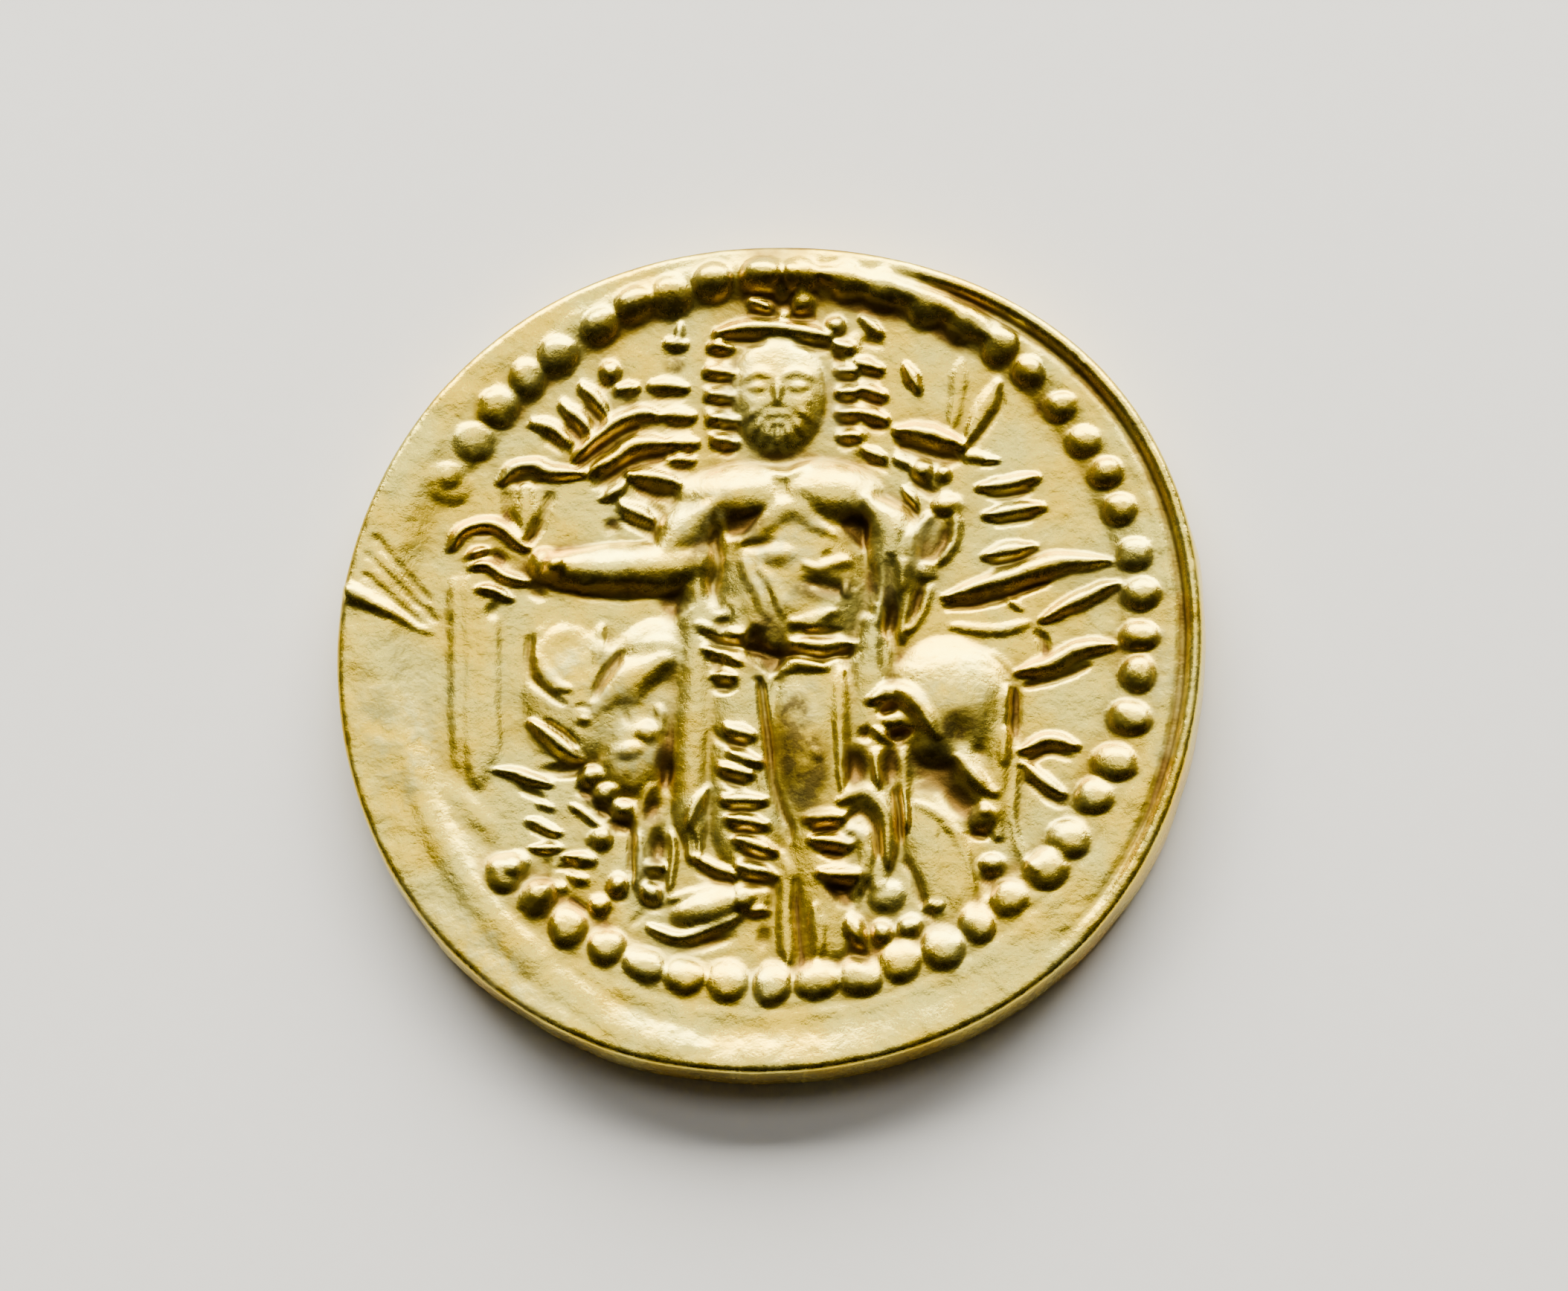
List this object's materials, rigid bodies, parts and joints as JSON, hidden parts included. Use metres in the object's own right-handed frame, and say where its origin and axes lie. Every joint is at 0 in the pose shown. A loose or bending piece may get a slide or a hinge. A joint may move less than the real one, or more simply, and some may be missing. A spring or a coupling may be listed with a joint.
{
  "type": "ancient gold coin",
  "caption": "Round struck gold coin with a robed figure and bull in relief inside a beaded border, lying on its plainer side.",
  "frame": {"origin": "middle of the coin's outline, on the plane of its foot ring where it lies", "axes": "+Z out of the main side (the one with figure and bull), +Y from the figure's feet to its head, +X to the viewer's right of the main side"},
  "size_m": [0.0206, 0.0202, 0.0019],
  "materials": {
    "gold": "worn satin gold"
  },
  "bodies": {
    "root": {"coin": "gold"}
  },
  "joints": []
}
